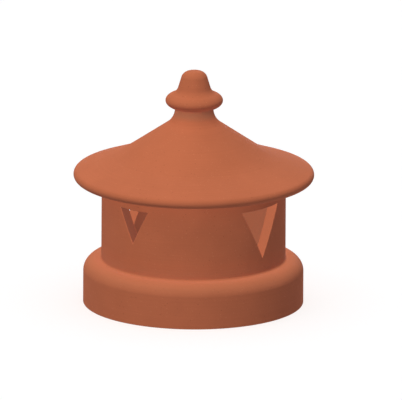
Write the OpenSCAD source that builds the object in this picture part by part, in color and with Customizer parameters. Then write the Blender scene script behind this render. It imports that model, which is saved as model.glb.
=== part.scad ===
// Hooded chimney pot: a vented terracotta top, thrown and fired in one piece.
// A collar slips over the flue, a drum carries four triangular vents, and a wide
// conical hood with a turned finial keeps the rain out.
// Z is up, the origin is at the centre of the underside, and sizes are in millimetres.

/* [Drum] */
// Outside diameter of the drum
drum_d = 251; // [200:1:310]
// Height of the drum that shows, from the collar's ledge to the underside of the brim
drum_h = 110.5; // [90:0.5:160]
// Thickness of the drum's wall
drum_wall = 15.5; // [10:0.5:25]

/* [Collar] */
// How far the collar stands out from the drum
collar_step = 24.5; // [12:0.5:40]
// Height of the collar, from the underside to the ledge at the foot of the drum
collar_h = 61.5; // [45:0.5:90]
// Thickness of the collar's wall around the socket
collar_wall = 20; // [12:0.5:28]
// Depth of the socket that slips over the flue
socket_depth = 40; // [15:1:60]
// Least thickness of clay between the socket's roof and the collar's ledge
ledge_wall = 12; // [8:0.5:20]
// Radius of the collar's rounded shoulder
shoulder_r = 17.5; // [3:0.5:20]
// Radius of the small hollow where the drum meets the collar and the brim
root_r = 3; // [1:0.5:6]

/* [Vents] */
// Width of each large vent along its top edge
large_vent_w = 72; // [40:1:110]
// Height of each large vent, from its point to its top edge
large_vent_h = 68; // [30:1:80]
// Width of each small vent along its top edge
small_vent_w = 49; // [20:1:90]
// Height of each small vent, from its point to its top edge
small_vent_h = 46.5; // [20:0.5:80]
// Height of drum wall left between the vents' top edge and the brim
vent_drop = 19.5; // [6:0.5:30]

/* [Hood] */
// How far the brim stands out from the drum
brim_step = 38.5; // [20:0.5:60]
// Radius of the brim's rounded edge
brim_edge_r = 7; // [4:0.5:12]
// Slope of the brim's upper side, in degrees
brim_slope = 19.5; // [5:0.5:30]
// Slope of the hood above the brim, in degrees
hood_slope = 34.4; // [32:0.1:50]
// Diameter at which the brim's slope turns up into the hood's slope
hood_d = 208; // [150:1:260]
// Radius of the hollow sweep between the two slopes
hood_sweep_r = 135; // [20:5:200]
// Thickness of the hood's shell, square to its slope
hood_wall = 16; // [10:0.5:26]
// Diameter of the flat middle of the ceiling inside the hood
ceiling_d = 44; // [20:1:80]

/* [Finial] */
// Diameter of the neck
neck_d = 52.5; // [44:0.5:66]
// Radius of the hollow where the hood turns up into the neck
neck_cove_r = 26.5; // [5:0.5:40]
// Height of the bead's widest line above the foot of the neck
neck_h = 25; // [18:0.5:50]
// Diameter of the bead at its widest line
bead_d = 78.5; // [68:0.5:110]
// Thickness of the bead, from its lower side to its upper side
bead_h = 22.5; // [12:0.5:30]
// Depth of the bead's rounded nose, from its widest line inward
bead_nose = 20; // [15:0.5:24]
// Diameter at the foot of the knob
knob_d = 48; // [36:0.5:52]
// Diameter at the top of the knob, measured at the corner before it is rounded
knob_top_d = 30.5; // [25:0.5:44]
// Height of the knob's flat top above the bead's widest line
knob_h = 41; // [34:0.5:70]
// Radius of the hollow where the knob rises from the bead
knob_root_r = 13.5; // [2:0.5:14]
// Radius of the rounded top of the knob
knob_round_r = 12; // [2:0.5:12]

/* [Hidden] */

terracotta = "#c26d4b";
// Steps in each rounded stretch, and faces around a turn
arc_steps = 10;
$fn = 128;
// How far a cutting shape runs past the face that it cuts
over = 5;

drum_r = drum_d / 2;
collar_r = drum_r + collar_step;
brim_r = drum_r + brim_step;
hood_r = hood_d / 2;
neck_r = neck_d / 2;
bead_r = bead_d / 2;

flue_r = drum_r - drum_wall;
socket_r = collar_r - collar_wall;
socket_top_z = min(socket_depth, collar_h - ledge_wall);

brim_z = collar_h + drum_h;
brim_corner_z = brim_z + brim_edge_r * (1 + tan((90 - brim_slope) / 2));
hood_z = brim_corner_z + (brim_r - hood_r) * tan(brim_slope);
neck_z = hood_z + (hood_r - neck_r) * tan(hood_slope);
bead_z = neck_z + neck_h;
knob_top_z = bead_z + knob_h;

vent_top_z = brim_z - vent_drop;

// The bead's nose is part of an ellipse around this radius, from the neck to the knob
bead_centre_r = bead_r - bead_nose;
bead_start = -acos((neck_r - bead_centre_r) / bead_nose);
bead_end = 54;

// Rounded corners, kept within the faces that they join
shoulder = min(shoulder_r, collar_step - root_r);
neck_run = neck_h + bead_h / 2 * sin(bead_start);
neck_cove = min(neck_cove_r, neck_run / tan(45 - hood_slope / 2));

function lerp(a, b, t) = a + (b - a) * t;

// Points along an elliptical arc around [r, z]
function arc(centre, rx, rz, start, end) =
    [for (i = [0:arc_steps]) let (t = lerp(start, end, i / arc_steps))
        centre + [rx * cos(t), rz * sin(t)]];

// Points that round off the corner b of the path a, b, c with radius r
function fillet(a, b, c, r) =
    let (
        u = (a - b) / norm(a - b),
        v = (c - b) / norm(c - b),
        half = acos(u * v) / 2,
        centre = b + (u + v) / norm(u + v) * r / sin(half),
        from = b + u * r / tan(half) - centre,
        to = b + v * r / tan(half) - centre,
        start = atan2(from.y, from.x),
        turn = (atan2(to.y, to.x) - start + 540) % 360 - 180
    )
    arc(centre, r, r, start, start + turn);

// Height of the ceiling's sloping side at radius r
function ceiling_z(r) = neck_z + (neck_r - r) * tan(hood_slope) - hood_wall / cos(hood_slope);

collar_foot = [collar_r, 0];
collar_corner = [collar_r, collar_h];
drum_foot = [drum_r, collar_h];
drum_head = [drum_r, brim_z];
brim_under = [brim_r, brim_z];
brim_top = [brim_r, brim_corner_z];
hood_turn = [hood_r, hood_z];
neck_foot = [neck_r, neck_z];
neck_head = [neck_r, bead_z];
bead_shoulder = [bead_centre_r + bead_nose * cos(bead_end), bead_z + bead_h / 2 * sin(bead_end)];
// The bead's upper side runs on at its own slope to the foot of the knob
bead_rise = bead_h / 2 * cos(bead_end) / (bead_nose * sin(bead_end));
knob_foot = [knob_d / 2, bead_shoulder.y + (bead_shoulder.x - knob_d / 2) * bead_rise];
knob_corner = [knob_top_d / 2, knob_top_z];
knob_middle = [0, knob_top_z];

// Outline of the outside, from the foot of the collar to the top of the knob
outside = concat(
    [[0, 0], collar_foot],
    fillet(collar_foot, collar_corner, drum_foot, shoulder),
    fillet(collar_corner, drum_foot, drum_head, root_r),
    fillet(drum_foot, drum_head, brim_under, root_r),
    fillet(drum_head, brim_under, brim_top, brim_edge_r),
    fillet(brim_under, brim_top, hood_turn, brim_edge_r),
    fillet(brim_top, hood_turn, neck_foot, hood_sweep_r),
    fillet(hood_turn, neck_foot, neck_head, neck_cove),
    arc([bead_centre_r, bead_z], bead_nose, bead_h / 2, bead_start, bead_end),
    fillet(bead_shoulder, knob_foot, knob_corner, knob_root_r),
    fillet(knob_foot, knob_corner, knob_middle, knob_round_r),
    [knob_middle]
);

// Outline of the hollow inside: the socket, the flue and the hood's ceiling
inside = [
    [0, -over],
    [socket_r, -over],
    [socket_r, socket_top_z],
    [flue_r, socket_top_z],
    [flue_r, ceiling_z(flue_r)],
    [ceiling_d / 2, ceiling_z(ceiling_d / 2)],
    [0, ceiling_z(ceiling_d / 2)]
];

// A pair of opposite vents: one three-sided prism, point down, right across the drum along Y
module vent_pair(width, height) {
    translate([0, drum_r + over, vent_top_z])
        rotate([90, 0, 0])
            linear_extrude(2 * (drum_r + over))
                polygon([[-width / 2, 0], [width / 2, 0], [0, -height]]);
}

module cowl() {
    color(terracotta)
        difference() {
            rotate_extrude() polygon(outside);
            rotate_extrude() polygon(inside);
            rotate(90) vent_pair(large_vent_w, large_vent_h);
            vent_pair(small_vent_w, small_vent_h);
        }
}

cowl();
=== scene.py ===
"""Hooded chimney pot in unglazed terracotta: a turned clay body with four vents cut through it."""

import math

import bpy
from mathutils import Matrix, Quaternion, Vector


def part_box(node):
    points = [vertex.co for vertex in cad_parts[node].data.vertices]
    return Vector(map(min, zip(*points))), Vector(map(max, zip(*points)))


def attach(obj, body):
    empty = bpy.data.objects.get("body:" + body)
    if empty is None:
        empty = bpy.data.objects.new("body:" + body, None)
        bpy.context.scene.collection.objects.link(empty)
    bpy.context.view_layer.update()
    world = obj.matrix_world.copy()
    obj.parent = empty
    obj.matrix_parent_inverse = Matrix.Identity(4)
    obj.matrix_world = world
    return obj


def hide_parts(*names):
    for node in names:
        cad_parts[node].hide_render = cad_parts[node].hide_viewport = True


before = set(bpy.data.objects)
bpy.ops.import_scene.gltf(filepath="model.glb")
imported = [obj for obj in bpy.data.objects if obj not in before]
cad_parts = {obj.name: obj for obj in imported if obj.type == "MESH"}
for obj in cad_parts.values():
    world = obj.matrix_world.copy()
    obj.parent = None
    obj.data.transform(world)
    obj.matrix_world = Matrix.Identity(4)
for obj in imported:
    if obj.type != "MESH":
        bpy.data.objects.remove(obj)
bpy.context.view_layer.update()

bl_info = {
    "name": "Hooded Chimney Pot",
    "version": (1, 0, 0),
    "blender": (4, 5, 0),
    "location": "3D View > Sidebar > Chimney Pot",
    "description": "Turns a hooded clay chimney pot, cuts its vents and fires it",
    "category": "Add Mesh",
}

POT_LOW, POT_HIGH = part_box("cowl")

# Rounding inside, where no tool reaches closely: around the ceiling's middle and at its rim
CEILING_RADIUS = 0.012
CEILING_RIM_RADIUS = 0.006
# How far over its nose the bead's round runs before it falls straight to the knob
BEAD_END = math.radians(54)

# An edge turns at least this much to count as one of the vents' arrises
ARRIS_ANGLE = math.radians(50)
# An edge that turns more than this stays crisp when the pot is shaded smooth
CRISP_ANGLE = math.radians(40)
# Points this close together are one point
SAME_PLACE = 1e-5
# How far a corner may lie from the drum's faces, or from the vents' heights, and still be theirs
FACE_REACH = 0.0002
VENT_REACH = 0.001
# A face that leans at least this much inwards or downwards faces the hollow
HOLLOW_LEAN = 0.3
# A vent's cut side is one face with more corners than this
CUT_SIDE_CORNERS = 10

# Tones of the clay, as shares of its colour
DEEP_TONE = 0.93
LIGHT_TONE = 1.05
# Painted shade in the throwing lines' grooves: how dark their colour goes
GROOVE_TONE = 0.7
# How strongly the pale and the dark specks colour the clay
PALE_COVER = 0.35
DARK_COVER = 0.4
# Height of the slow unevenness that the hand leaves
UNEVEN_DEPTH = 0.0006
# Unglazed clay hardly shines
CLAY_GLOSS = 0.06

FLOOR_SIZE = 24
# The floor lies this far below the foot, so that the two never share a face
FLOOR_GAP = 0.0001
FLOOR_COLOUR = (0.8, 0.8, 0.8, 1)
# What the floor adds of its own to look white, a little cool against the warm main lamp
FLOOR_GLOW = 0.31
FLOOR_GLOW_COLOUR = (0.87, 0.9, 1.0, 1)
# How far around the foot the floor counts as sheltered
SHELTER_REACH = 0.16
# Colour of the floor for light that goes on to the pot, dark enough to send little of it up
QUIET_FLOOR_COLOUR = (0.2, 0.2, 0.2, 1)

LAMP_DISTANCE = 3
LAMP_SPREAD = math.radians(10)
CAMERA_DISTANCE = 2.5
FARTHEST_SEEN = 50


# ---------------------------------------------------------------- sizes and finishes


class ChimneyPotBody(bpy.types.PropertyGroup):
    """Sizes of the collar and the drum."""

    drum_diameter: bpy.props.FloatProperty(
        name="Drum diameter",
        description="Outside diameter of the drum",
        default=0.251,
        min=0.2,
        unit="LENGTH",
    )
    drum_height: bpy.props.FloatProperty(
        name="Drum height",
        description="Height from the collar's ledge to the underside of the brim",
        default=0.1105,
        min=0.09,
        unit="LENGTH",
    )
    drum_wall: bpy.props.FloatProperty(
        name="Drum wall",
        description="Thickness of the drum's wall",
        default=0.0155,
        min=0.008,
        unit="LENGTH",
    )
    collar_step: bpy.props.FloatProperty(
        name="Collar step",
        description="How far the collar stands out from the drum",
        default=0.0245,
        min=0.012,
        unit="LENGTH",
    )
    collar_height: bpy.props.FloatProperty(
        name="Collar height",
        description="Height from the underside to the ledge at the foot of the drum",
        default=0.0615,
        min=0.045,
        unit="LENGTH",
    )
    collar_wall: bpy.props.FloatProperty(
        name="Collar wall",
        description="Thickness of the collar's wall around the socket",
        default=0.02,
        min=0.01,
        unit="LENGTH",
    )
    socket_depth: bpy.props.FloatProperty(
        name="Socket depth",
        description="Depth of the socket that slips over the flue",
        default=0.04,
        min=0.01,
        unit="LENGTH",
    )
    shoulder_radius: bpy.props.FloatProperty(
        name="Shoulder radius",
        description="Radius of the collar's rounded shoulder",
        default=0.0175,
        min=0.003,
        unit="LENGTH",
    )
    root_radius: bpy.props.FloatProperty(
        name="Root radius",
        description="Radius of the small hollow where the drum meets the collar and the brim",
        default=0.003,
        min=0.001,
        unit="LENGTH",
    )
    arris_radius: bpy.props.FloatProperty(
        name="Arris radius",
        description="Rounding that fettling with a damp sponge leaves on the foot and the vents",
        default=0.001,
        min=0.0004,
        max=0.003,
        unit="LENGTH",
    )
    turn_steps: bpy.props.IntProperty(
        name="Steps around",
        description="Number of steps in a whole turn, in fours so that a step falls on each vent's point",
        default=176,
        min=48,
        step=4,
    )


class ChimneyPotVents(bpy.types.PropertyGroup):
    """Sizes of the four triangular vents."""

    large_width: bpy.props.FloatProperty(
        name="Large vent width",
        description="Width of each large vent along its top edge",
        default=0.072,
        min=0.02,
        unit="LENGTH",
    )
    large_height: bpy.props.FloatProperty(
        name="Large vent height",
        description="Height of each large vent, from its point to its top edge",
        default=0.068,
        min=0.02,
        unit="LENGTH",
    )
    small_width: bpy.props.FloatProperty(
        name="Small vent width",
        description="Width of each small vent along its top edge",
        default=0.049,
        min=0.02,
        unit="LENGTH",
    )
    small_height: bpy.props.FloatProperty(
        name="Small vent height",
        description="Height of each small vent, from its point to its top edge",
        default=0.0465,
        min=0.02,
        unit="LENGTH",
    )
    drop: bpy.props.FloatProperty(
        name="Drop below the brim",
        description="Height of drum wall left between the vents' top edge and the brim",
        default=0.0195,
        min=0.006,
        unit="LENGTH",
    )


class ChimneyPotHood(bpy.types.PropertyGroup):
    """Sizes of the hood and of the finial on top of it."""

    brim_diameter: bpy.props.FloatProperty(
        name="Brim diameter",
        description="Diameter across the brim",
        default=POT_HIGH[0] - POT_LOW[0],
        unit="LENGTH",
    )
    brim_edge_radius: bpy.props.FloatProperty(
        name="Brim edge radius",
        description="Radius of the brim's rounded edge",
        default=0.007,
        min=0.003,
        unit="LENGTH",
    )
    brim_slope: bpy.props.FloatProperty(
        name="Brim slope",
        description="Slope of the brim's upper side",
        default=math.radians(19.5),
        subtype="ANGLE",
    )
    hood_slope: bpy.props.FloatProperty(
        name="Hood slope",
        description="Slope of the hood above the brim",
        default=math.radians(34.4),
        subtype="ANGLE",
    )
    hood_diameter: bpy.props.FloatProperty(
        name="Hood diameter",
        description="Diameter at which the brim's slope turns up into the hood's slope",
        default=0.208,
        unit="LENGTH",
    )
    sweep_radius: bpy.props.FloatProperty(
        name="Sweep radius",
        description="Radius of the hollow sweep between the two slopes",
        default=0.135,
        unit="LENGTH",
    )
    hood_wall: bpy.props.FloatProperty(
        name="Hood wall",
        description="Thickness of the hood's shell, square to its slope",
        default=0.016,
        unit="LENGTH",
    )
    ceiling_diameter: bpy.props.FloatProperty(
        name="Ceiling diameter",
        description="Diameter of the flat middle of the ceiling inside the hood",
        default=0.044,
        unit="LENGTH",
    )
    neck_diameter: bpy.props.FloatProperty(
        name="Neck diameter",
        description="Diameter of the neck under the bead",
        default=0.0525,
        unit="LENGTH",
    )
    neck_cove_radius: bpy.props.FloatProperty(
        name="Neck cove radius",
        description="Radius of the hollow where the hood turns up into the neck",
        default=0.0265,
        unit="LENGTH",
    )
    bead_diameter: bpy.props.FloatProperty(
        name="Bead diameter",
        description="Diameter of the bead at its widest line",
        default=0.0785,
        unit="LENGTH",
    )
    bead_height: bpy.props.FloatProperty(
        name="Bead height",
        description="Thickness of the bead, from its lower side to its upper side",
        default=0.0225,
        unit="LENGTH",
    )
    bead_nose: bpy.props.FloatProperty(
        name="Bead nose",
        description="Depth of the bead's rounded nose, from its widest line inward",
        default=0.02,
        unit="LENGTH",
    )
    knob_diameter: bpy.props.FloatProperty(
        name="Knob diameter",
        description="Diameter at the foot of the knob",
        default=0.048,
        unit="LENGTH",
    )
    knob_top_diameter: bpy.props.FloatProperty(
        name="Knob top diameter",
        description="Diameter at the top of the knob, measured at the corner before it is rounded",
        default=0.0305,
        unit="LENGTH",
    )
    knob_height: bpy.props.FloatProperty(
        name="Knob height",
        description="Height of the knob's flat top above the bead's widest line",
        default=0.041,
        unit="LENGTH",
    )
    knob_root_radius: bpy.props.FloatProperty(
        name="Knob root radius",
        description="Radius of the hollow where the knob rises from the bead",
        default=0.0135,
        unit="LENGTH",
    )
    knob_round_radius: bpy.props.FloatProperty(
        name="Knob round radius",
        description="Radius of the rounded top of the knob",
        default=0.012,
        unit="LENGTH",
    )


class ChimneyPotClay(bpy.types.PropertyGroup):
    """Colours and surface of the fired clay."""

    clay: bpy.props.FloatVectorProperty(
        name="Clay",
        description="Colour of the fired terracotta",
        default=(0.575, 0.166, 0.0785),
        min=0.0,
        max=1.0,
        subtype="COLOR",
    )
    grog: bpy.props.FloatVectorProperty(
        name="Grog",
        description="Colour of the pale crushed clay that shows as specks",
        default=(0.70, 0.26, 0.13),
        min=0.0,
        max=1.0,
        subtype="COLOR",
    )
    iron: bpy.props.FloatVectorProperty(
        name="Iron",
        description="Colour of the dark iron specks",
        default=(0.30, 0.08, 0.04),
        min=0.0,
        max=1.0,
        subtype="COLOR",
    )
    rubbed: bpy.props.FloatVectorProperty(
        name="Rubbed edge",
        description="Colour of the dry, rubbed clay along the arrises",
        default=(0.63, 0.21, 0.105),
        min=0.0,
        max=1.0,
        subtype="COLOR",
    )
    # Painted shade: the hollow inside and the vents' cut sides are coloured in this darker, duller clay
    # for the shade that falls there
    inside: bpy.props.FloatVectorProperty(
        name="Inside",
        description="Colour of the duller clay inside, where less air reached it in the kiln",
        default=(0.485, 0.18, 0.095),
        min=0.0,
        max=1.0,
        subtype="COLOR",
    )
    # Painted shade: the small vents' cut sides are coloured in this darker clay for the shade on them
    shade_painted: bpy.props.FloatVectorProperty(
        name="Painted vent shade",
        description="Colour of the darker, smoked clay on the cut sides of the small vents",
        default=(0.335, 0.112, 0.066),
        min=0.0,
        max=1.0,
        subtype="COLOR",
    )
    # Painted shade: bands of the inside colour around the neck under the bead and at the collar's ledge,
    # where shade falls
    neck_reach: bpy.props.FloatProperty(
        name="Neck reach",
        description="How far the duller clay reaches above and below the middle of the neck",
        default=0.0135,
        min=0.001,
        unit="LENGTH",
    )
    neck_cover: bpy.props.FloatProperty(
        name="Neck cover",
        description="How strongly the duller clay covers the neck",
        default=1.0,
        min=0.0,
        max=1.0,
        subtype="FACTOR",
    )
    ledge_reach: bpy.props.FloatProperty(
        name="Ledge reach",
        description="How far the duller clay reaches above and below the collar's ledge",
        default=0.02,
        min=0.001,
        unit="LENGTH",
    )
    ledge_cover: bpy.props.FloatProperty(
        name="Ledge cover",
        description="How strongly the duller clay covers the collar's ledge",
        default=0.4,
        min=0.0,
        max=1.0,
        subtype="FACTOR",
    )
    grain_size: bpy.props.FloatProperty(
        name="Grain size",
        description="Size of the sand grains in the surface",
        default=0.0011,
        min=0.0002,
        unit="LENGTH",
    )
    grain_depth: bpy.props.FloatProperty(
        name="Grain depth",
        description="Depth of the sandy grain",
        default=0.00012,
        min=0.0,
        unit="LENGTH",
    )
    line_spacing: bpy.props.FloatProperty(
        name="Throwing line spacing",
        description="Usual distance between the lines that throwing leaves around the pot",
        default=0.0035,
        min=0.001,
        unit="LENGTH",
    )
    line_depth: bpy.props.FloatProperty(
        name="Throwing line depth",
        description="Depth of the lines that throwing leaves around the pot",
        default=0.00012,
        min=0.0,
        unit="LENGTH",
    )


class ChimneyPotStage(bpy.types.PropertyGroup):
    """Camera, lamps and floor."""

    camera_azimuth: bpy.props.FloatProperty(
        name="Camera azimuth",
        description="Turn of the camera around the pot, from the front",
        default=math.radians(41.3),
        subtype="ANGLE",
    )
    camera_elevation: bpy.props.FloatProperty(
        name="Camera elevation",
        description="Height of the camera above level, as an angle",
        default=math.radians(15),
        subtype="ANGLE",
    )
    camera_roll: bpy.props.FloatProperty(
        name="Camera roll",
        description="Slight lean of the camera to its left",
        default=math.radians(0.3),
        subtype="ANGLE",
    )
    view_width: bpy.props.FloatProperty(
        name="View width",
        description="Width of what the camera sees",
        default=0.5475,
        unit="LENGTH",
    )
    view_height: bpy.props.FloatProperty(
        name="View height",
        description="Height on the pot's axis at the middle of the view",
        default=0.1427,
        unit="LENGTH",
    )
    view_offset: bpy.props.FloatProperty(
        name="View offset",
        description="How far the middle of the view lies to the right of the pot's axis",
        default=0.00994,
        unit="LENGTH",
    )
    key_azimuth: bpy.props.FloatProperty(
        name="Key azimuth",
        description="Turn of the main lamp around the pot, from the camera",
        default=math.radians(-33.1),
        subtype="ANGLE",
    )
    key_elevation: bpy.props.FloatProperty(
        name="Key elevation",
        description="Height of the main lamp above level, as an angle",
        default=math.radians(62),
        subtype="ANGLE",
    )
    key_strength: bpy.props.FloatProperty(
        name="Key strength",
        description="Strength of the main lamp, high on the camera's left",
        default=2.1,
        min=0.0,
    )
    key_colour: bpy.props.FloatVectorProperty(
        name="Key colour",
        description="Colour of the main lamp, a little warm",
        default=(1.0, 0.965, 0.83),
        min=0.0,
        max=1.0,
        subtype="COLOR",
    )
    back_azimuth: bpy.props.FloatProperty(
        name="Back azimuth",
        description="Turn of the weak lamp around the pot, from the camera",
        default=math.radians(171.3),
        subtype="ANGLE",
    )
    back_elevation: bpy.props.FloatProperty(
        name="Back elevation",
        description="Height of the weak lamp above level, as an angle",
        default=math.radians(27.2),
        subtype="ANGLE",
    )
    back_strength: bpy.props.FloatProperty(
        name="Back strength",
        description="Strength of the weak lamp behind the pot",
        default=0.5,
        min=0.0,
    )
    fill_strength: bpy.props.FloatProperty(
        name="Fill strength",
        description="Strength of each of the twelve weak lamps that fill the shade evenly",
        default=0.243,
        min=0.0,
    )
    fill_colour: bpy.props.FloatVectorProperty(
        name="Fill colour",
        description="Colour of the lamps that fill the shade, a little cool",
        default=(0.74, 0.79, 1.0),
        min=0.0,
        max=1.0,
        subtype="COLOR",
    )
    sky_strength: bpy.props.FloatProperty(
        name="Sky strength",
        description="Strength of the weak light from all around",
        default=0.1,
        min=0.0,
    )
    floor_shade: bpy.props.FloatProperty(
        name="Floor shade",
        description="Depth of the soft shade that the pot leaves on the floor around its foot",
        default=0.7,
        min=0.0,
        max=1.0,
    )


# ---------------------------------------------------------------- the outline of the pot


def arc_points(centre, across, up, start, end, steps):
    """Points along part of an ellipse around a centre, in a number of steps."""
    points = []
    for step in range(steps + 1):
        angle = start + (end - start) * step / steps
        points.append(centre + Vector((across * math.cos(angle), up * math.sin(angle))))
    return points


def rounded(before, corner, after, radius, steps):
    """Points that round off one corner of an outline in a number of steps."""
    back = (before - corner).normalized()
    ahead = (after - corner).normalized()
    half = back.angle(ahead) / 2
    centre = corner + (back + ahead).normalized() * radius / math.sin(half)
    reach = radius / math.tan(half)
    first = corner + back * reach - centre
    last = corner + ahead * reach - centre
    start = math.atan2(first.y, first.x)
    turn = (math.atan2(last.y, last.x) - start + 3 * math.pi) % math.tau - math.pi
    return arc_points(centre, radius, radius, start, start + turn, steps)


def inside_outline(body, hood, heights):
    """Outline of the hollow, from the middle of the ceiling down to the mouth of the socket."""
    flue_radius = body.drum_diameter / 2 - body.drum_wall
    socket_radius = body.drum_diameter / 2 + body.collar_step - body.collar_wall

    def ceiling(radius):
        rise = (hood.neck_diameter / 2 - radius) * math.tan(hood.hood_slope)
        return heights["neck"] + rise - hood.hood_wall / math.cos(hood.hood_slope)

    ceiling_radius = hood.ceiling_diameter / 2
    middle = Vector((0, ceiling(ceiling_radius)))
    ceiling_edge = Vector((ceiling_radius, middle.y))
    flue_head = Vector((flue_radius, ceiling(flue_radius)))
    flue_foot = Vector((flue_radius, body.socket_depth))
    socket_head = Vector((socket_radius, body.socket_depth))
    socket_mouth = Vector((socket_radius, 0))
    foot = Vector((body.drum_diameter / 2 + body.collar_step, 0))
    return (
        [middle]
        + rounded(middle, ceiling_edge, flue_head, CEILING_RADIUS, 6)
        + rounded(ceiling_edge, flue_head, flue_foot, CEILING_RIM_RADIUS, 8)
        + rounded(flue_head, flue_foot, socket_head, body.arris_radius, 4)
        + rounded(flue_foot, socket_head, socket_mouth, body.root_radius, 5)
        + rounded(socket_head, socket_mouth, foot, body.arris_radius, 4)
    )


def outside_outline(body, hood, heights):
    """Outline of the outside, from the foot of the collar up to the middle of the knob's top."""
    drum_radius = body.drum_diameter / 2
    brim_radius = hood.brim_diameter / 2
    neck_radius = hood.neck_diameter / 2

    socket_mouth = Vector((drum_radius + body.collar_step - body.collar_wall, 0))
    foot = Vector((drum_radius + body.collar_step, 0))
    collar_corner = Vector((foot.x, body.collar_height))
    drum_foot = Vector((drum_radius, body.collar_height))
    drum_head = Vector((drum_radius, heights["brim"]))
    brim_under = Vector((brim_radius, heights["brim"]))
    brim_top = Vector((brim_radius, heights["brim corner"]))
    hood_turn = Vector((hood.hood_diameter / 2, heights["hood"]))
    neck_foot = Vector((neck_radius, heights["neck"]))
    neck_head = Vector((neck_radius, heights["bead"]))

    bead_centre = Vector((hood.bead_diameter / 2 - hood.bead_nose, heights["bead"]))
    bead_start = -math.acos((neck_radius - bead_centre.x) / hood.bead_nose)
    bead_half = hood.bead_height / 2
    bead = arc_points(bead_centre, hood.bead_nose, bead_half, bead_start, BEAD_END, 28)
    bead_fall = bead_half * math.cos(BEAD_END) / (hood.bead_nose * math.sin(BEAD_END))

    knob_radius = hood.knob_diameter / 2
    knob_foot = Vector((knob_radius, bead[-1].y + (bead[-1].x - knob_radius) * bead_fall))
    knob_corner = Vector((hood.knob_top_diameter / 2, heights["top"]))
    knob_middle = Vector((0, heights["top"]))
    return (
        rounded(socket_mouth, foot, collar_corner, body.arris_radius, 4)
        + rounded(foot, collar_corner, drum_foot, body.shoulder_radius, 16)
        + rounded(collar_corner, drum_foot, drum_head, body.root_radius, 6)
        + rounded(drum_foot, drum_head, brim_under, body.root_radius, 6)
        + rounded(drum_head, brim_under, brim_top, hood.brim_edge_radius, 10)
        + rounded(brim_under, brim_top, hood_turn, hood.brim_edge_radius, 10)
        + rounded(brim_top, hood_turn, neck_foot, hood.sweep_radius, 12)
        + rounded(hood_turn, neck_foot, neck_head, hood.neck_cove_radius, 18)
        + bead
        + rounded(bead[-1], knob_foot, knob_corner, hood.knob_root_radius, 12)
        + rounded(knob_foot, knob_corner, knob_middle, hood.knob_round_radius, 14)
        + [knob_middle]
    )


def pot_heights(body, hood):
    """Heights of the places where the outline turns."""
    brim = body.collar_height + body.drum_height
    corner_share = 1 + math.tan((math.pi / 2 - hood.brim_slope) / 2)
    brim_corner = brim + hood.brim_edge_radius * corner_share
    brim_run = (hood.brim_diameter - hood.hood_diameter) / 2
    hood_turn = brim_corner + brim_run * math.tan(hood.brim_slope)
    hood_run = (hood.hood_diameter - hood.neck_diameter) / 2
    neck = hood_turn + hood_run * math.tan(hood.hood_slope)
    top = POT_HIGH[2]
    return {
        "brim": brim,
        "brim corner": brim_corner,
        "hood": hood_turn,
        "neck": neck,
        "bead": top - hood.knob_height,
        "top": top,
    }


# ---------------------------------------------------------------- working the clay


def deselect():
    """Leaves object mode with nothing selected."""
    if bpy.context.object and bpy.context.object.mode != "OBJECT":
        bpy.ops.object.mode_set(mode="OBJECT")
    bpy.ops.object.select_all(action="DESELECT")


def work_on(piece):
    """Makes one piece the only selected and active one."""
    deselect()
    piece.select_set(True)
    bpy.context.view_layer.objects.active = piece


def draw_outline(name, points):
    """Draws an outline as a chain of edges in the upright plane, point by point."""
    deselect()
    first = points[0]
    bpy.ops.mesh.primitive_plane_add(size=0.01, location=(first.x, 0, first.y))
    piece = bpy.context.object
    piece.name = name
    bpy.ops.object.transform_apply(location=True, rotation=True, scale=True)
    bpy.ops.object.mode_set(mode="EDIT")
    bpy.ops.mesh.select_mode(type="VERT")
    bpy.ops.mesh.select_all(action="SELECT")
    bpy.ops.mesh.merge(type="CENTER")
    here = first
    for point in points[1:]:
        step = point - here
        if step.length < SAME_PLACE / 10:
            continue
        move = {"value": (step.x, 0, step.y)}
        bpy.ops.mesh.extrude_region_move(TRANSFORM_OT_translate=move)
        here = point
    return piece


def throw(steps):
    """Spins the drawn outline once around the pot's axis and closes the seam and the poles."""
    bpy.ops.mesh.select_all(action="SELECT")
    bpy.ops.mesh.spin(steps=steps, angle=math.tau, center=(0, 0, 0), axis=(0, 0, 1))
    bpy.ops.mesh.select_all(action="SELECT")
    bpy.ops.mesh.remove_doubles(threshold=SAME_PLACE)
    bpy.ops.mesh.normals_make_consistent(inside=False)
    bpy.ops.object.mode_set(mode="OBJECT")


def cut_vent_pair(pot, name, width, height, top, turn):
    """Cuts two opposite vents with one three-sided cutter, point down, right across the drum."""
    deselect()
    bpy.ops.mesh.primitive_cylinder_add(
        vertices=3,
        radius=1,
        depth=POT_HIGH[0] - POT_LOW[0],
        location=(0, 0, top - height / 3),
        rotation=(-math.pi / 2, 0, turn),
        scale=(width / math.sqrt(3), height / 1.5, 1),
    )
    cutter = bpy.context.object
    cutter.name = name
    bpy.ops.object.transform_apply(location=True, rotation=True, scale=True)
    work_on(pot)
    bpy.ops.object.modifier_add(type="BOOLEAN")
    cut = pot.modifiers[-1]
    cut.operation = "DIFFERENCE"
    cut.solver = "EXACT"
    cut.object = cutter
    bpy.ops.object.modifier_apply(modifier=cut.name)
    work_on(cutter)
    bpy.ops.object.delete()


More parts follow.
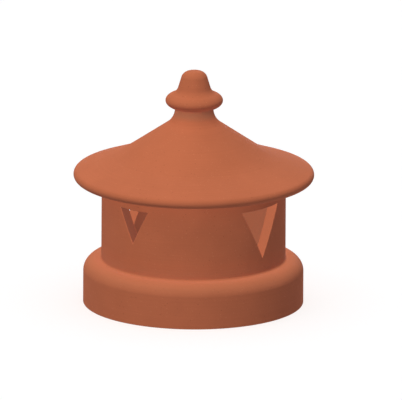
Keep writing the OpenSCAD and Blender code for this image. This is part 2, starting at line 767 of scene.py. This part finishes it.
def soften_vents(pot, radii, lowest, highest, arris):
    """Rounds the arrises of the vents where they break through the drum, inside and outside."""
    work_on(pot)
    bpy.ops.object.mode_set(mode="EDIT")
    bpy.ops.mesh.select_mode(type="EDGE")
    bpy.ops.mesh.select_all(action="DESELECT")
    bpy.ops.mesh.edges_select_sharp(sharpness=ARRIS_ANGLE)
    bpy.ops.object.mode_set(mode="OBJECT")
    mesh = pot.data
    for edge in mesh.edges:
        ends = [mesh.vertices[index].co for index in edge.vertices]
        on_one_face = any(
            all(abs(math.hypot(end.x, end.y) - radius) < FACE_REACH for end in ends)
            for radius in radii
        )
        at_vents = all(lowest - VENT_REACH < end.z < highest + VENT_REACH for end in ends)
        edge.select = edge.select and on_one_face and at_vents
    for vertex in mesh.vertices:
        vertex.select = False
    for face in mesh.polygons:
        face.select = False
    for edge in mesh.edges:
        if edge.select:
            for index in edge.vertices:
                mesh.vertices[index].select = True
    bpy.ops.object.mode_set(mode="EDIT")
    bpy.ops.mesh.bevel(
        offset_type="OFFSET",
        offset=arris,
        segments=3,
        profile=0.5,
        affect="EDGES",
        clamp_overlap=False,
        miter_outer="SHARP",
    )
    bpy.ops.object.mode_set(mode="OBJECT")
    rubbed = mesh.attributes.new("rubbed", "FLOAT", "FACE")
    for face in mesh.polygons:
        rubbed.data[face.index].value = 1.0 if face.select else 0.0


def mark_painted_shade(pot, radii, ceiling):
    """Marks where shade is painted in the inside colour: the whole hollow, and the vents' cut sides by
    half; and marks the small vents' cut sides for a darker painted shade.
    """
    outer, inner = radii
    mesh = pot.data
    mesh.attributes.new("inside", "FLOAT", "FACE")
    mesh.attributes.new("shade_painted", "FLOAT", "FACE")
    inside = mesh.attributes["inside"]
    shade_painted = mesh.attributes["shade_painted"]
    for face in mesh.polygons:
        x, y, z = face.center
        radius = math.hypot(x, y)
        inward = -(x * face.normal.x + y * face.normal.y) / max(radius, SAME_PLACE)
        faces_hollow = inward > HOLLOW_LEAN or face.normal.z < -HOLLOW_LEAN
        in_hollow = radius < inner + 2 * FACE_REACH and z < ceiling + 2 * VENT_REACH
        inside_wall = radius < outer - 2 * VENT_REACH
        if in_hollow and faces_hollow:
            inside.data[face.index].value = 1.0
        elif inside_wall and len(face.vertices) > CUT_SIDE_CORNERS:
            inside.data[face.index].value = 0.5
            # The small vents are the pair cut along Y
            shade_painted.data[face.index].value = 1.0 if abs(y) > abs(x) else 0.0


def smooth(pot):
    """Shades the curves smooth and keeps the corners inside the vents crisp."""
    work_on(pot)
    bpy.ops.object.shade_smooth_by_angle(angle=CRISP_ANGLE)
    bpy.ops.object.modifier_add(type="WEIGHTED_NORMAL")
    even = pot.modifiers[-1]
    even.mode = "FACE_AREA"
    even.keep_sharp = True
    bpy.ops.object.modifier_apply(modifier=even.name)


# ---------------------------------------------------------------- clay finishes


class NodeBench:
    """A small helper that adds nodes to a tree in a row and links them."""

    def __init__(self, tree):
        self.tree = tree
        self.column = 0

    def add(self, kind, **settings):
        """Adds a node of this kind with the given settings."""
        node = self.tree.nodes.new(kind)
        node.location = (self.column * 190, 0)
        self.column += 1
        for name, value in settings.items():
            setattr(node, name, value)
        return node

    def link(self, start, end):
        """Links an output socket to an input socket."""
        self.tree.links.new(start, end)

    def feed(self, socket, value):
        """Feeds an input from another node's output, or sets its value."""
        if isinstance(value, bpy.types.NodeSocket):
            self.link(value, socket)
        else:
            socket.default_value = value

    def maths(self, kind, first, second=0.5, third=0.5):
        """A maths node on up to three values."""
        node = self.add("ShaderNodeMath", operation=kind)
        for socket, value in zip(node.inputs, (first, second, third)):
            self.feed(socket, value)
        return node.outputs[0]

    def soft_range(self, value, low, high, to_low=0.0, to_high=1.0):
        """Maps a value from one range to another with soft ends."""
        node = self.add("ShaderNodeMapRange", interpolation_type="SMOOTHSTEP")
        for name, setting in (
            ("Value", value),
            ("From Min", low),
            ("From Max", high),
            ("To Min", to_low),
            ("To Max", to_high),
        ):
            self.feed(node.inputs[name], setting)
        return node.outputs["Result"]

    def noise(self, place, scale, detail=2.0, roughness=0.5):
        """A noise texture's value."""
        node = self.add("ShaderNodeTexNoise")
        self.feed(node.inputs["Vector"], place)
        self.feed(node.inputs["Scale"], scale)
        node.inputs["Detail"].default_value = detail
        node.inputs["Roughness"].default_value = roughness
        return node.outputs["Fac"]

    def patchy(self, place):
        """A cover a little short of full in patches, so that the painted shade never lies quite evenly.
        """
        return self.soft_range(self.noise(place, 60.0, 2.0), 0.3, 0.7, 0.85, 1.0)

    def tint(self, mask, under, over):
        """Lays one colour over another where the mask says."""
        node = self.add("ShaderNodeMix", data_type="RGBA")
        self.feed(node.inputs["Factor"], mask)
        self.feed(node.inputs[6], under)
        self.feed(node.inputs[7], over)
        return node.outputs[2]


def new_group(name, inputs, outputs):
    """A shader node group with named sockets, and its bench, inputs and outputs."""
    group = bpy.data.node_groups.new(name, "ShaderNodeTree")
    for label, kind, value in inputs:
        socket = group.interface.new_socket(label, in_out="INPUT", socket_type=kind)
        if value is not None:
            socket.default_value = value
    for label in outputs:
        group.interface.new_socket(label, in_out="OUTPUT", socket_type="NodeSocketFloat")
    bench = NodeBench(group)
    given = bench.add("NodeGroupInput")
    result = bench.add("NodeGroupOutput")
    return group, bench, given.outputs, result.inputs


def sandy_grain_group():
    """Sandy grain: a fine height with small pits, and masks of pale and dark specks."""
    group, bench, given, result = new_group(
        "Sandy grain",
        [("Place", "NodeSocketVector", None), ("Grain size", "NodeSocketFloat", 0.001)],
        ["Height", "Pale specks", "Dark specks"],
    )
    fine = bench.maths("DIVIDE", 1.0, given["Grain size"])
    sand = bench.noise(given["Place"], fine, 3.0, 0.6)
    pit_scale = bench.maths("MULTIPLY", fine, 0.34)
    cells = bench.add("ShaderNodeTexVoronoi", feature="F1")
    bench.link(given["Place"], cells.inputs["Vector"])
    bench.link(pit_scale, cells.inputs["Scale"])
    chance = bench.add("ShaderNodeSeparateColor")
    bench.link(cells.outputs["Color"], chance.inputs["Color"])
    spot = bench.soft_range(cells.outputs["Distance"], 0.16, 0.3, 1.0, 0.0)
    has_pit = bench.soft_range(chance.outputs["Red"], 0.86, 0.88)
    has_grog = bench.soft_range(chance.outputs["Green"], 0.80, 0.86)
    has_iron = bench.soft_range(chance.outputs["Blue"], 0.93, 0.95)
    pits = bench.maths("MULTIPLY", spot, has_pit)
    height = bench.maths("SUBTRACT", sand, pits)
    bench.link(height, result["Height"])
    bench.link(bench.maths("MULTIPLY", spot, has_grog), result["Pale specks"])
    bench.link(bench.maths("MULTIPLY", spot, has_iron), result["Dark specks"])
    return group


def throwing_lines_group():
    """Throwing lines: fine uneven rings around the pot's axis, as fingers and a rib leave them."""
    group, bench, given, result = new_group(
        "Throwing lines",
        [("Place", "NodeSocketVector", None), ("Spacing", "NodeSocketFloat", 0.004)],
        ["Height"],
    )
    parts = bench.add("ShaderNodeSeparateXYZ")
    bench.link(given["Place"], parts.inputs[0])
    across = bench.maths("MULTIPLY", parts.outputs["X"], parts.outputs["X"])
    deep = bench.maths("MULTIPLY", parts.outputs["Y"], parts.outputs["Y"])
    radius = bench.maths("SQRT", bench.maths("ADD", across, deep))
    along = bench.maths("MULTIPLY_ADD", radius, -0.7, parts.outputs["Z"])
    drift = bench.noise(given["Place"], 7.0, 1.0)
    along = bench.maths("MULTIPLY_ADD", drift, 0.006, along)
    ring = bench.maths("DIVIDE", along, given["Spacing"])
    place = bench.add("ShaderNodeCombineXYZ")
    bench.link(ring, place.inputs["Z"])
    lines = bench.noise(place.outputs[0], 1.0, 3.0, 0.6)
    patchy = bench.soft_range(bench.noise(given["Place"], 11.0, 1.0), 0.35, 0.65, 0.45, 1.0)
    centred = bench.maths("SUBTRACT", lines, 0.5)
    bench.link(bench.maths("MULTIPLY", centred, patchy), result["Height"])
    return group


def kiln_mottle_group():
    """Kiln mottle: slow cloudy changes of tone from the firing, and a gentle unevenness."""
    group, bench, given, result = new_group(
        "Kiln mottle",
        [("Place", "NodeSocketVector", None), ("Scale", "NodeSocketFloat", 14.0)],
        ["Tone", "Unevenness"],
    )
    clouds = bench.noise(given["Place"], given["Scale"], 4.0, 0.55)
    bench.link(bench.soft_range(clouds, 0.3, 0.7), result["Tone"])
    slow = bench.maths("MULTIPLY", given["Scale"], 2.2)
    bench.link(bench.noise(given["Place"], slow, 1.0), result["Unevenness"])
    return group


def painted_shade_band_group():
    """Painted shade band: a soft, slightly patchy band around the pot, where the clay is coloured darker
    for shade at one height.
    """
    group, bench, given, result = new_group(
        "Painted shade band",
        [
            ("Place", "NodeSocketVector", None),
            ("Height", "NodeSocketFloat", 0.1),
            ("Reach", "NodeSocketFloat", 0.01),
            ("Cover", "NodeSocketFloat", 1.0),
        ],
        ["Mask"],
    )
    parts = bench.add("ShaderNodeSeparateXYZ")
    bench.link(given["Place"], parts.inputs[0])
    away = bench.maths("ABSOLUTE", bench.maths("SUBTRACT", parts.outputs["Z"], given["Height"]))
    near = bench.maths("MULTIPLY", given["Reach"], 0.25)
    band = bench.soft_range(away, near, given["Reach"], 1.0, 0.0)
    broken = bench.maths("MULTIPLY", band, bench.patchy(given["Place"]))
    bench.link(bench.maths("MULTIPLY", broken, given["Cover"]), result["Mask"])
    return group


def toned(colour, tone=1.0):
    """A colour made darker or lighter by a tone, ready for a node's colour socket."""
    return (*(min(1.0, tone * value) for value in colour), 1.0)


def fired_clay_material(clay, shade_bands):
    """Unglazed terracotta: sandy and faintly ringed, with painted shade in its hollows, its grooves and
    the small vents' cut sides, and dry rubbed clay at the vents.
    """
    material = bpy.data.materials.new("Fired terracotta")
    material.use_nodes = True
    tree = material.node_tree
    tree.nodes.clear()
    bench = NodeBench(tree)
    place = bench.add("ShaderNodeTexCoord").outputs["Object"]

    grain = bench.add("ShaderNodeGroup", node_tree=sandy_grain_group())
    bench.link(place, grain.inputs["Place"])
    grain.inputs["Grain size"].default_value = clay.grain_size
    rings = bench.add("ShaderNodeGroup", node_tree=throwing_lines_group())
    bench.link(place, rings.inputs["Place"])
    rings.inputs["Spacing"].default_value = clay.line_spacing
    mottle = bench.add("ShaderNodeGroup", node_tree=kiln_mottle_group())
    bench.link(place, mottle.inputs["Place"])

    colour = bench.tint(mottle.outputs["Tone"], toned(clay.clay, DEEP_TONE), toned(clay.clay, LIGHT_TONE))
    colour = bench.tint(0.5, colour, toned(clay.clay))
    pale = bench.maths("MULTIPLY", grain.outputs["Pale specks"], PALE_COVER)
    colour = bench.tint(pale, colour, toned(clay.grog))
    dark = bench.maths("MULTIPLY", grain.outputs["Dark specks"], DARK_COVER)
    colour = bench.tint(dark, colour, toned(clay.iron))
    # Painted shade: the grooves of the throwing lines are coloured darker
    groove = bench.soft_range(rings.outputs["Height"], -0.2, 0.2, 0.12, 0.0)
    colour = bench.tint(groove, colour, toned(clay.clay, GROOVE_TONE))
    # Painted shade: the hollow and, by half, the vents' cut sides take the darker inside colour
    hollow_shade_mark = bench.add("ShaderNodeAttribute", attribute_name="inside")
    colour = bench.tint(hollow_shade_mark.outputs["Fac"], colour, toned(clay.inside))
    # Painted shade: darker bands of the inside colour around the neck and at the collar's ledge
    shade_band_group = painted_shade_band_group()
    for hollow_height, reach, cover in shade_bands:
        dull = bench.add("ShaderNodeGroup", node_tree=shade_band_group)
        bench.link(place, dull.inputs["Place"])
        dull.inputs["Height"].default_value = hollow_height
        dull.inputs["Reach"].default_value = reach
        dull.inputs["Cover"].default_value = cover
        colour = bench.tint(dull.outputs["Mask"], colour, toned(clay.inside))
    # Painted shade on the small vents' cut sides, in patches
    vent_shade_mark = bench.add("ShaderNodeAttribute", attribute_name="shade_painted")
    vent_shade_mask = bench.maths("MULTIPLY", vent_shade_mark.outputs["Fac"], bench.patchy(place))
    colour = bench.tint(vent_shade_mask, colour, toned(clay.shade_painted))
    worn = bench.add("ShaderNodeAttribute", attribute_name="rubbed")
    patches = bench.soft_range(bench.noise(place, 160.0, 2.0), 0.35, 0.65, 0.1, 0.45)
    rubbing = bench.maths("MULTIPLY", worn.outputs["Fac"], patches)
    colour = bench.tint(rubbing, colour, toned(clay.rubbed))

    sand_height = bench.maths("MULTIPLY", grain.outputs["Height"], clay.grain_depth)
    line_height = bench.maths("MULTIPLY", rings.outputs["Height"], clay.line_depth * 2)
    slow_height = bench.maths("MULTIPLY", mottle.outputs["Unevenness"], UNEVEN_DEPTH)
    height = bench.maths("ADD", bench.maths("ADD", sand_height, line_height), slow_height)
    bump = bench.add("ShaderNodeBump")
    bump.inputs["Strength"].default_value = 1.0
    bump.inputs["Distance"].default_value = 1.0
    bench.link(height, bump.inputs["Height"])

    shader = bench.add("ShaderNodeBsdfPrincipled")
    bench.link(colour, shader.inputs["Base Color"])
    roughness = bench.soft_range(grain.outputs["Height"], 0.2, 0.8, 0.9, 0.78)
    bench.link(roughness, shader.inputs["Roughness"])
    bench.link(bump.outputs["Normal"], shader.inputs["Normal"])
    shader.inputs["Specular IOR Level"].default_value = CLAY_GLOSS
    output = bench.add("ShaderNodeOutputMaterial")
    bench.link(shader.outputs["BSDF"], output.inputs["Surface"])
    return material


# ---------------------------------------------------------------- the stage


def direction(azimuth, elevation):
    """The way to a place around the pot, with azimuth 0 at the front."""
    level = math.cos(elevation)
    return Vector((math.sin(azimuth) * level, -math.cos(azimuth) * level, math.sin(elevation)))


def add_lamp(name, towards, strength, colour=(1.0, 1.0, 1.0)):
    """A distant lamp that lights evenly and throws no shadow."""
    lamp = bpy.data.lights.new(name, "SUN")
    lamp.color = colour
    lamp.energy = strength
    lamp.angle = LAMP_SPREAD
    lamp.use_shadow = False
    holder = bpy.data.objects.new(name, lamp)
    holder.rotation_euler = towards.to_track_quat("Z", "Y").to_euler()
    holder.location = towards * LAMP_DISTANCE
    bpy.context.collection.objects.link(holder)


def fill_directions():
    """Twelve directions spread evenly around the pot: the corners of a twenty-sided solid."""
    golden = (1 + math.sqrt(5)) / 2
    ways = []
    for first in (-1, 1):
        for second in (-golden, golden):
            ways.append(Vector((0, first, second)).normalized())
            ways.append(Vector((first, second, 0)).normalized())
            ways.append(Vector((second, 0, first)).normalized())
    return ways


def seen_directly(bench):
    """1 for camera, glossy and transmission rays, and 0 for the others."""
    path = bench.add("ShaderNodeLightPath")
    mirror = bench.maths("MAXIMUM", path.outputs["Is Camera Ray"], path.outputs["Is Glossy Ray"])
    return bench.maths("MAXIMUM", mirror, path.outputs["Is Transmission Ray"])


def floor_material(shade):
    """A plain white floor, with a soft shade around the foot where the pot shelters it."""
    material = bpy.data.materials.new("White floor")
    material.use_nodes = True
    tree = material.node_tree
    tree.nodes.clear()
    bench = NodeBench(tree)
    white = bench.add("ShaderNodeBsdfDiffuse")
    white.inputs["Color"].default_value = FLOOR_COLOUR
    glow = bench.add("ShaderNodeEmission")
    glow.inputs["Color"].default_value = FLOOR_GLOW_COLOUR
    shelter = bench.add("ShaderNodeAmbientOcclusion", samples=16)
    shelter.inputs["Distance"].default_value = SHELTER_REACH
    shaded = FLOOR_GLOW * shade
    level = bench.maths("MULTIPLY_ADD", shelter.outputs["AO"], shaded, FLOOR_GLOW - shaded)
    bench.link(level, glow.inputs["Strength"])
    bright = bench.add("ShaderNodeAddShader")
    bench.link(white.outputs[0], bright.inputs[0])
    bench.link(glow.outputs[0], bright.inputs[1])
    quiet = bench.add("ShaderNodeBsdfDiffuse")
    quiet.inputs["Color"].default_value = QUIET_FLOOR_COLOUR
    either = bench.add("ShaderNodeMixShader")
    bench.link(seen_directly(bench), either.inputs[0])
    bench.link(quiet.outputs[0], either.inputs[1])
    bench.link(bright.outputs[0], either.inputs[2])
    output = bench.add("ShaderNodeOutputMaterial")
    bench.link(either.outputs[0], output.inputs["Surface"])
    return material


def white_sky(strength):
    """A white world behind everything, with a weak even light of its own."""
    world = bpy.data.worlds.new("White studio")
    bpy.context.scene.world = world
    world.use_nodes = True
    tree = world.node_tree
    tree.nodes.clear()
    bench = NodeBench(tree)
    seen = seen_directly(bench)
    level = bench.add("ShaderNodeMapRange")
    bench.link(seen, level.inputs["Value"])
    level.inputs["To Min"].default_value = strength
    level.inputs["To Max"].default_value = 1.0
    sky = bench.add("ShaderNodeBackground")
    sky.inputs["Color"].default_value = (1, 1, 1, 1)
    bench.link(level.outputs["Result"], sky.inputs["Strength"])
    output = bench.add("ShaderNodeOutputWorld")
    bench.link(sky.outputs[0], output.inputs["Surface"])


# ---------------------------------------------------------------- operators and panel


class CHIMNEYPOT_OT_make_pot(bpy.types.Operator):
    """Throws the pot, cuts and softens its vents, and fires the clay"""

    bl_idname = "chimneypot.make_pot"
    bl_label = "Make the pot"

    def execute(self, context):
        body = context.scene.chimney_pot_body
        vents = context.scene.chimney_pot_vents
        hood = context.scene.chimney_pot_hood
        heights = pot_heights(body, hood)
        inside = inside_outline(body, hood, heights)
        outside = outside_outline(body, hood, heights)
        pot = draw_outline("fired_cowl", inside + outside)
        throw(body.turn_steps)

        vent_top = heights["brim"] - vents.drop
        quarter = math.pi / 2
        cut_vent_pair(pot, "large_cutter", vents.large_width, vents.large_height, vent_top, quarter)
        cut_vent_pair(pot, "small_cutter", vents.small_width, vents.small_height, vent_top, 0)
        drum_radius = body.drum_diameter / 2
        radii = (drum_radius, drum_radius - body.drum_wall)
        vent_low = vent_top - max(vents.large_height, vents.small_height)
        soften_vents(pot, radii, vent_low, vent_top, body.arris_radius)
        mark_painted_shade(pot, radii, inside[0].y)
        smooth(pot)

        clay = context.scene.chimney_pot_clay
        # Painted shade bands around the neck and at the collar's ledge
        neck_middle = (heights["neck"] + heights["bead"]) / 2
        neck_shade_band = (neck_middle, clay.neck_reach, clay.neck_cover)
        ledge_shade_band = (body.collar_height, clay.ledge_reach, clay.ledge_cover)
        pot.data.materials.clear()
        pot.data.materials.append(fired_clay_material(clay, (neck_shade_band, ledge_shade_band)))
        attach(pot, "root")
        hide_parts("cowl")
        return {"FINISHED"}


class CHIMNEYPOT_OT_set_stage(bpy.types.Operator):
    """Sets the floor, the white surroundings, the lamps and the camera"""

    bl_idname = "chimneypot.set_stage"
    bl_label = "Set the stage"

    def execute(self, context):
        stage = context.scene.chimney_pot_stage
        deselect()
        bpy.ops.mesh.primitive_plane_add(size=FLOOR_SIZE, location=(0, 0, POT_LOW[2] - FLOOR_GAP))
        floor = context.object
        floor.name = "floor"
        bpy.ops.object.transform_apply(location=True, rotation=True, scale=True)
        floor.data.materials.append(floor_material(stage.floor_shade))
        white_sky(stage.sky_strength)

        key_way = direction(stage.camera_azimuth + stage.key_azimuth, stage.key_elevation)
        add_lamp("key", key_way, stage.key_strength, stage.key_colour)
        back_way = direction(stage.camera_azimuth + stage.back_azimuth, stage.back_elevation)
        add_lamp("back", back_way, stage.back_strength)
        for number, way in enumerate(fill_directions()):
            add_lamp(f"fill_{number + 1}", way, stage.fill_strength, stage.fill_colour)

        right = Vector((math.cos(stage.camera_azimuth), math.sin(stage.camera_azimuth), 0))
        middle = Vector((0, 0, stage.view_height)) + right * stage.view_offset
        towards = direction(stage.camera_azimuth, stage.camera_elevation)
        lens = bpy.data.cameras.new("camera")
        lens.type = "ORTHO"
        lens.ortho_scale = stage.view_width
        lens.clip_end = FARTHEST_SEEN
        camera = bpy.data.objects.new("camera", lens)
        camera.location = middle + towards * CAMERA_DISTANCE
        lean = Quaternion((0, 0, 1), stage.camera_roll)
        camera.rotation_euler = (towards.to_track_quat("Z", "Y") @ lean).to_euler()
        context.collection.objects.link(camera)
        context.scene.camera = camera
        context.scene.view_settings.view_transform = "Standard"
        return {"FINISHED"}


class CHIMNEYPOT_PT_maker(bpy.types.Panel):
    """Sizes, finishes and the stage, with the operators that make them"""

    bl_idname = "CHIMNEYPOT_PT_maker"
    bl_label = "Chimney Pot"
    bl_space_type = "VIEW_3D"
    bl_region_type = "UI"
    bl_category = "Chimney Pot"

    def draw(self, context):
        scene = context.scene
        for title, group in (
            ("Collar and drum", scene.chimney_pot_body),
            ("Vents", scene.chimney_pot_vents),
            ("Hood and finial", scene.chimney_pot_hood),
            ("Clay", scene.chimney_pot_clay),
        ):
            self.list_values(title, group)
        self.layout.operator(CHIMNEYPOT_OT_make_pot.bl_idname)
        self.list_values("Stage", scene.chimney_pot_stage)
        self.layout.operator(CHIMNEYPOT_OT_set_stage.bl_idname)

    def list_values(self, title, group):
        """Lists each value of a group under its title."""
        box = self.layout.box()
        box.label(text=title)
        for name in group.__annotations__:
            box.prop(group, name)


GROUPS = {
    "chimney_pot_body": ChimneyPotBody,
    "chimney_pot_vents": ChimneyPotVents,
    "chimney_pot_hood": ChimneyPotHood,
    "chimney_pot_clay": ChimneyPotClay,
    "chimney_pot_stage": ChimneyPotStage,
}
TOOLS = (CHIMNEYPOT_OT_make_pot, CHIMNEYPOT_OT_set_stage, CHIMNEYPOT_PT_maker)


def register():
    for name, group in GROUPS.items():
        bpy.utils.register_class(group)
        setattr(bpy.types.Scene, name, bpy.props.PointerProperty(type=group))
    for tool in TOOLS:
        bpy.utils.register_class(tool)


def unregister():
    for tool in reversed(TOOLS):
        bpy.utils.unregister_class(tool)
    for name, group in reversed(GROUPS.items()):
        delattr(bpy.types.Scene, name)
        bpy.utils.unregister_class(group)


def main():
    register()
    bpy.ops.chimneypot.make_pot()
    bpy.ops.chimneypot.set_stage()


if __name__ == "__main__":
    main()
